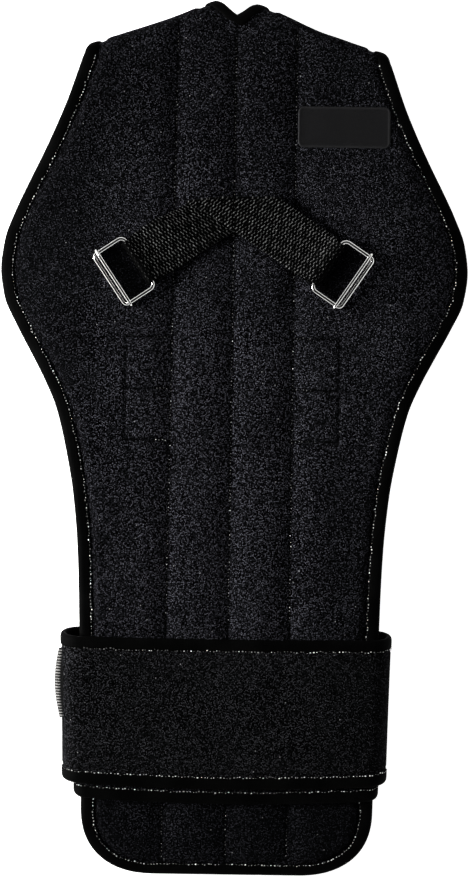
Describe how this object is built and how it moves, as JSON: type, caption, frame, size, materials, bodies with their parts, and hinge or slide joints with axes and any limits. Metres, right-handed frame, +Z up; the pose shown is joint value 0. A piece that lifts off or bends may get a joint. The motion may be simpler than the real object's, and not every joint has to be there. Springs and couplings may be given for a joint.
{
  "type": "posture corrector brace",
  "caption": "Padded back brace lying flat, straps folded behind, waist belt wrapped round it and crossed webbing with wire slide rings.",
  "frame": {"origin": "middle of the footprint, on the surface that the brace lies on", "axes": "+X across the brace towards the picture's right, +Y from the tail up to the neck, +Z up off the surface, out of the brace's outer face"},
  "size_m": [0.2322, 0.437, 0.0192],
  "materials": {
    "loop_fabric": "brushed loop-pile knit over foam, matte black",
    "binding_tape": "smooth folded binding tape, dull black",
    "webbing": "cross-ribbed webbing, slight sheen",
    "ribbed_elastic": "ribbed elastic, dark with pale ribs",
    "woven_patch": "tight satin weave, bare",
    "bright_steel": "bright nickel-plated wire"
  },
  "bodies": {
    "brace": {"back_panel": "loop_fabric", "edge_tape": "binding_tape", "belt_inner_turn": "loop_fabric", "belt_inner_turn_lower_tape": "binding_tape", "belt_inner_turn_upper_tape": "binding_tape", "belt_outer_turn": "loop_fabric", "belt_outer_turn_lower_tape": "binding_tape", "belt_outer_turn_upper_tape": "binding_tape", "side_elastic": "ribbed_elastic", "cross_webbing": "webbing", "label_patch": "woven_patch"},
    "ring_left": {"ring_left": "bright_steel"},
    "slider_left": {"slider_left": "bright_steel"},
    "ring_right": {"ring_right": "bright_steel"},
    "slider_right": {"slider_right": "bright_steel"}
  },
  "joints": [
    {"name": "ring_left_swing", "type": "hinge", "parent": "brace", "child": "ring_left", "pos_m": [-0.04701, 0.08814, 0.01345], "axis": [-0.5592, 0.829, 0], "range_deg": [0, 135]},
    {"name": "slider_left_slide", "type": "slide", "parent": "ring_left", "child": "slider_left", "axis": [0.829, 0.5592, 0], "range_m": [0, 0.009]},
    {"name": "ring_right_swing", "type": "hinge", "parent": "brace", "child": "ring_right", "pos_m": [0.04701, 0.08814, 0.01345], "axis": [-0.5592, -0.829, 0], "range_deg": [0, 135]},
    {"name": "slider_right_slide", "type": "slide", "parent": "ring_right", "child": "slider_right", "axis": [-0.829, 0.5592, 0], "range_m": [0, 0.009]}
  ]
}
